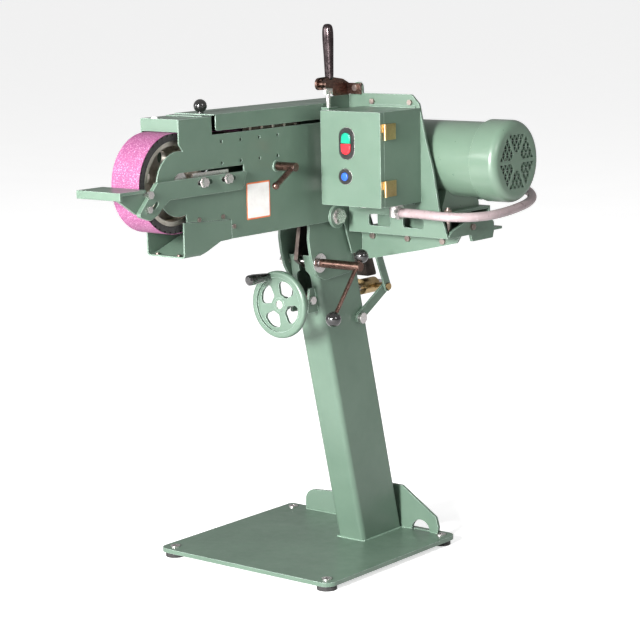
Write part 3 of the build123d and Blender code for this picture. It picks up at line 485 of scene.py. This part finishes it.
front_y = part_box("start_button")[0].y
caps = (
    ("start", half_oval(0.9695, 0.9804, 1), front_y, "green_plastic"),
    ("stop", half_oval(0.9685, 0.9576, -1), front_y - STOP_PROUD, "red_plastic"),
    ("reset", circle(RESET_X, RESET_Z, RESET_R), front_y + RESET_SUNK, "blue_plastic"),
)
for button, outline, front, slot_name in caps:
    cap = button_mesh(button + "_cap", outline, front, front_y + BUTTON_DEPTH, BUTTON_EDGE)
    piece(button + "_cap", cap, looks[slot_name], button, [button + "_button"])


def oval(half_w, low, high, count=40):
    """An upright oval round the start and stop buttons."""
    points = []
    for i in range(count):
        t = 2 * math.pi * i / count
        z = (high - half_w if math.sin(t) > 0 else low + half_w) + half_w * math.sin(t)
        points.append((BUTTON_X + half_w * math.cos(t), z))
    return points


def collar(name, outer, inner, front, back):
    """A flat ring between two outlines."""
    rings = [[(x, back, z) for x, z in outer], [(x, front, z) for x, z in outer]]
    rings += [[(x, front, z) for x, z in inner], [(x, back, z) for x, z in inner]]
    rings.append(rings[0])
    return ring_mesh(name, rings, closed_ends=False, smooth=False)


door_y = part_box("enclosure_door")[0].y
bezel_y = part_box("button_bezel")[0].y
OUTLINE_PROUD = 0.001
oval_rim, round_rim = oval(0.0190, 0.9352, 1.0028), circle(RESET_X, RESET_Z, 0.0165)
# name, outer outline, inner outline, front, slot
surrounds = (
    ("oval_bezel", oval_rim, oval(0.0130, 0.9448, 0.9932), bezel_y - 0.0006, "black_plastic"),
    ("oval_outline", oval(0.0202, 0.9340, 1.0040), oval_rim, door_y - OUTLINE_PROUD, "zinc_steel"),
    (
        "round_bezel",
        round_rim,
        circle(RESET_X, RESET_Z, 0.0094),
        bezel_y - 0.0002,
        "black_plastic",
    ),
    (
        "round_outline",
        circle(RESET_X, RESET_Z, 0.0175),
        round_rim,
        door_y - OUTLINE_PROUD,
        "zinc_steel",
    ),
)
for name, outer, inner, front, slot_name in surrounds:
    piece(name, collar(name, outer, inner, front, door_y), looks[slot_name], "door")


# ---------------------------------------------------------------- blank rating plate

LABEL_X = 0.1240
LABEL_Y0, LABEL_Y1, LABEL_Z0, LABEL_Z1 = -0.3343, -0.2583, 0.8190, 0.8970
LABEL_BORDER = 0.003


def plate(name, margin, depth, corner):
    """A thin plate on the arm's side, drawn in by a margin, with rounded corners."""
    y0, y1 = LABEL_Y0 + margin, LABEL_Y1 - margin
    z0, z1 = LABEL_Z0 + margin, LABEL_Z1 - margin
    outline = []
    for y, z, start in (
        (y1 - corner, z1 - corner, 0),
        (y0 + corner, z1 - corner, 90),
        (y0 + corner, z0 + corner, 180),
        (y1 - corner, z0 + corner, 270),
    ):
        for step in range(5):
            angle = math.radians(start + 22.5 * step)
            outline.append((y + corner * math.cos(angle), z + corner * math.sin(angle)))
    steps = ((0, 0), (depth * 0.8, 0), (depth, 0.0002))
    rings = [[(LABEL_X + out, y, z) for y, z in inset(outline, by)] for out, by in steps]
    return ring_mesh(name, rings, smooth=False)


orange = moulded("label_frame_look", (0.62, 0.12, 0.03), (0.78, 0.20, 0.06), 0.45, 0.2)
white = moulded("label_panel_look", (0.72, 0.70, 0.68), (0.82, 0.81, 0.79), 0.45, 0.2)
piece("label_frame", plate("label_frame", 0, 0.0004, 0.003), orange, "head")
panel = plate("label_panel", LABEL_BORDER, 0.0008, 0.002)
piece("label_panel", panel, white, "head")


# ---------------------------------------------------------------- tension lever

grip_low, grip_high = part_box("tension_handle")
grip_x = (grip_low.x + grip_high.x) / 2


SQUARENESS = 0.7


def rounded(x, y, z, half_x, half_y, count=24):
    """A level ring between an oval and a rectangle."""
    ring = []
    for i in range(count):
        t = 2 * math.pi * i / count
        c, s = math.cos(t), math.sin(t)
        px = math.copysign(abs(c) ** SQUARENESS, c) * half_x
        py = math.copysign(abs(s) ** SQUARENESS, s) * half_y
        ring.append((x + px, y + py, z))
    return ring


# y, z, half width in x, half width in y
GRIP = [
    (-0.0755, 1.0980, 0.0040, 0.0040),
    (-0.0756, 1.1000, 0.0085, 0.0070),
    (-0.0758, 1.1080, 0.0094, 0.0076),
    (-0.0762, 1.1200, 0.0098, 0.0078),
    (-0.0765, 1.1420, 0.0104, 0.0082),
    (-0.0772, 1.1650, 0.0110, 0.0094),
    (-0.0780, 1.1900, 0.0116, 0.0108),
    (-0.0782, 1.2050, 0.0114, 0.0106),
    (-0.0784, 1.2130, 0.0104, 0.0094),
    (-0.0786, 1.2180, 0.0080, 0.0070),
    (-0.0788, 1.2202, 0.0040, 0.0035),
]
gloss = metal(
    "grip_look",
    (0.045, 0.034, 0.036),
    (0.085, 0.066, 0.068),
    0.2,
    (15, 15, 15),
    depth=0.04,
    metallic=0.9,
    # painted edge highlight
    edge=(0.4, 0.36, 0.36),
)
grip_mesh = ring_mesh("tension_grip", [rounded(grip_x, *row) for row in GRIP])
grip = piece("tension_grip", grip_mesh, gloss, "tension_lever", ["tension_handle"])
grip.modifiers.new("round", "SUBSURF").levels = 1
grip.modifiers["round"].render_levels = 1


TURN_LIMIT = 1e-12


def hull(circles, count=28):
    """The outline of a belt stretched round circles given as (y, z, r)."""
    points = sorted(
        (y + r * math.cos(2 * math.pi * i / count), z + r * math.sin(2 * math.pi * i / count))
        for y, z, r in circles
        for i in range(count)
    )

    def half(ordered):
        kept = []
        for point in ordered:
            while len(kept) > 1:
                (ay, az), (by, bz) = kept[-2], kept[-1]
                if (by - ay) * (point[1] - az) - (bz - az) * (point[0] - ay) > TURN_LIMIT:
                    break
                kept.pop()
            kept.append(point)
        return kept[:-1]

    return half(points) + half(points[::-1])


def link_mesh(name, circles, x0, x1, edge):
    """A plate with rounded ends and eased edges between two x positions."""
    outline = hull(circles)
    steps = ((x0, edge), (x0 + edge, 0), (x1 - edge, 0), (x1, edge))
    rings = [[(x, y, z) for y, z in inset(outline, by)] for x, by in steps]
    return ring_mesh(name, rings, smooth=False)


PIVOT, CRANK = (-0.0923, 1.0905), (-0.0726, 1.0870)
LINK_EDGE = 0.0007
grip_parts = (
    (
        "lever_crank",
        [(*PIVOT, 0.0070), (*CRANK, 0.0068), (-0.0757, 1.1010, 0.0070)],
        0.1438,
        0.1504,
    ),
    ("lever_boss", [(*PIVOT, 0.0070)], 0.1342, 0.1518),
    ("lever_pin", [(*CRANK, 0.0040)], 0.1364, 0.1437),
)
for name, circles, x0, x1 in grip_parts:
    mesh = link_mesh(name, circles, x0, x1, LINK_EDGE)
    piece(name, mesh, oxide, "tension_lever")


# ---------------------------------------------------------------- spring, welds, bump stop


def tube(name, path, radius, count=10):
    """A round bar along a list of points."""
    rings = []
    for i, point in enumerate(path):
        before, after = path[max(i - 1, 0)], path[min(i + 1, len(path) - 1)]
        along = (Vector(after) - Vector(before)).normalized()
        side = along.cross((0, 0, 1) if abs(along.z) < 0.9 else (1, 0, 0)).normalized()
        top = side.cross(along)
        r = radius(i) if callable(radius) else radius
        turns = [2 * math.pi * k / count for k in range(count)]
        rings.append([Vector(point) + r * (side * math.cos(t) + top * math.sin(t)) for t in turns])
    return ring_mesh(name, rings)


# the tension spring, wound from wire round its rod
spring_low, spring_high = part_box("tension_spring")
spring_mid = (spring_low + spring_high) / 2
WIRE_R, COIL_R, TURNS, STEPS = 0.00125, 0.0071, 9, 20
coil = []
for i in range(TURNS * STEPS + 1):
    share = i / (TURNS * STEPS)
    angle = 2 * math.pi * i / STEPS
    height = spring_low.z + WIRE_R + share * (spring_high.z - spring_low.z - 2 * WIRE_R)
    x = spring_mid.x + COIL_R * math.cos(angle)
    y = spring_mid.y + COIL_R * math.sin(angle)
    coil.append((x, y, height))
spring = piece(
    "wound_spring",
    tube("wound_spring", coil, WIRE_R, 8),
    looks["dark_steel"],
    "head",
    ["tension_spring"],
)
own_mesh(spring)

# weld beads where the column and the gusset meet the base plate
BASE_TOP = 0.022
BEAD_STEP = 0.0016
foot = [v.co for v in nodes["column"].data.vertices if v.co.z < BASE_TOP + 0.001]
foot_x0, foot_x1 = min(v.x for v in foot), max(v.x for v in foot)
foot_y0, foot_y1 = min(v.y for v in foot), max(v.y for v in foot)
gusset_y = 0.2187
bead_runs = (
    ("bead_front", (foot_x0, foot_y0, BASE_TOP), (foot_x1, foot_y0, BASE_TOP)),
    ("bead_right", (foot_x1, foot_y0, BASE_TOP), (foot_x1, foot_y1, BASE_TOP)),
    ("bead_left", (foot_x0, foot_y0, BASE_TOP), (foot_x0, foot_y1, BASE_TOP)),
    ("bead_gusset_left", (-0.184, gusset_y, BASE_TOP), (foot_x0, gusset_y, BASE_TOP)),
    ("bead_gusset_right", (foot_x1, gusset_y, BASE_TOP), (0.136, gusset_y, BASE_TOP)),
    ("bead_gusset_end", (0.191, gusset_y, BASE_TOP), (0.213, gusset_y, BASE_TOP)),
)
# the beads are painted a lighter green than the paint round them, a painted highlight along each
# bead; their pale edges are a painted highlight too
weld = painted(
    "weld_highlight_look",
    GREEN_LIGHT,
    (0.16, 0.26, 0.19),
    (0.6, 0.7, 0.64),
    rough=0.3,
    coat=0.5,
    peel=0.4,
    edge_radius=0.002,
)


def bead_radius(i):
    """The rippled thickness of a bead."""
    return 0.0026 + 0.0005 * math.sin(i * 1.9) + 0.0003 * math.sin(i * 0.73)


for name, start, end in bead_runs:
    run = Vector(end) - Vector(start)
    count = max(4, int(run.length / BEAD_STEP))
    path = [Vector(start) + run * i / count for i in range(count + 1)]
    piece(name, tube(name, path, bead_radius), weld, "stand")

# a clear bump stop on the nose box
DOME_X, DOME_Y, DOME_Z = 0.0480, -0.5270, 1.0438
DOME_R, DOME_TIP_R, DOME_H = 0.0075, 0.0010, 0.0046
DOME_LEVELS = 5
dome_rings = []
for step in range(DOME_LEVELS + 1):
    angle = math.radians(15 * step)
    r = DOME_R * math.cos(angle) if step < DOME_LEVELS else DOME_TIP_R
    height = DOME_Z + DOME_H * math.sin(angle)
    dome_rings.append([(x, y, height) for x, y in circle(DOME_X, DOME_Y, r, 24)])
clear = moulded("clear_stop_look", (0.75, 0.76, 0.75), (0.86, 0.87, 0.86), 0.12, 0.8, depth=0.03)
piece("bump_stop", ring_mesh("bump_stop", dome_rings), clear, "head")


# ---------------------------------------------------------------- stage

FLOOR_HALF = 120
FLOOR_GLOW = 0.6
SKY_LIGHT, SKY_SEEN = 0.34, 1.0

floor_mesh = bpy.data.meshes.new("floor")
grid = bmesh.new()
bmesh.ops.create_grid(grid, x_segments=8, y_segments=8, size=FLOOR_HALF)
grid.to_mesh(floor_mesh)
grid.free()
floor = bpy.data.objects.new("floor", floor_mesh)
scene.collection.objects.link(floor)
paper = Shader("paper")
paper_colour = paper.ramp(paper.noise(3.0), [(0.3, (0.80, 0.80, 0.80)), (0.7, (0.83, 0.83, 0.83))])
paper_rough = paper.span(paper.noise(5.0), 0.85, 0.95)
paper.finish(paper_colour, paper_rough, None, Specular_IOR_Level=0.1)
# the floor is lifted to a paper white where it is seen, and lights nothing
glow = paper.add("ShaderNodeEmission")
seen = paper.add("ShaderNodeLightPath")
lift = paper.add("ShaderNodeMath", operation="MULTIPLY")
lift.inputs[1].default_value = FLOOR_GLOW
paper.join(seen.outputs["Is Camera Ray"], lift.inputs[0])
paper.join(lift.outputs[0], glow.inputs["Strength"])
both = paper.add("ShaderNodeAddShader")
paper.join(paper.bsdf.outputs[0], both.inputs[0])
paper.join(glow.outputs[0], both.inputs[1])
paper.join(both.outputs[0], paper.out.inputs[0])
floor_mesh.materials.append(paper.material)

world = bpy.data.worlds.new("studio")
scene.world = world
world.use_nodes = True
sky = world.node_tree.nodes["Background"]
sky.inputs[0].default_value = (*FULL, 1)
sky_path = world.node_tree.nodes.new("ShaderNodeLightPath")
sky_level = world.node_tree.nodes.new("ShaderNodeMapRange")
sky_level.inputs["To Min"].default_value = SKY_LIGHT
sky_level.inputs["To Max"].default_value = SKY_SEEN
world.node_tree.links.new(sky_path.outputs["Is Camera Ray"], sky_level.inputs["Value"])
world.node_tree.links.new(sky_level.outputs[0], sky.inputs[1])
scene.view_settings.view_transform = "Standard"

TARGET = Vector((0.15, -0.15, 0.75))
KEY_TINT = (1.0, 0.985, 0.985)


def lamp(name, place, size, power, colour=FULL):
    """A soft round lamp aimed at the object."""
    data = bpy.data.lights.new(name, "AREA")
    data.shape = "DISK"
    data.size = size
    data.energy = power
    data.color = colour
    light = bpy.data.objects.new(name, data)
    scene.collection.objects.link(light)
    aim = (TARGET - Vector(place)).to_track_quat("-Z", "Y").to_matrix().to_4x4()
    light.matrix_world = Matrix.Translation(place) @ aim


lamp("key", (0.9, -6.2, 2.2), 1.7, 1250, KEY_TINT)
lamp("left", (-3.2, -4.4, 1.8), 2.0, 90)
lamp("side", (4.8, -1.0, 2.8), 1.2, 55)
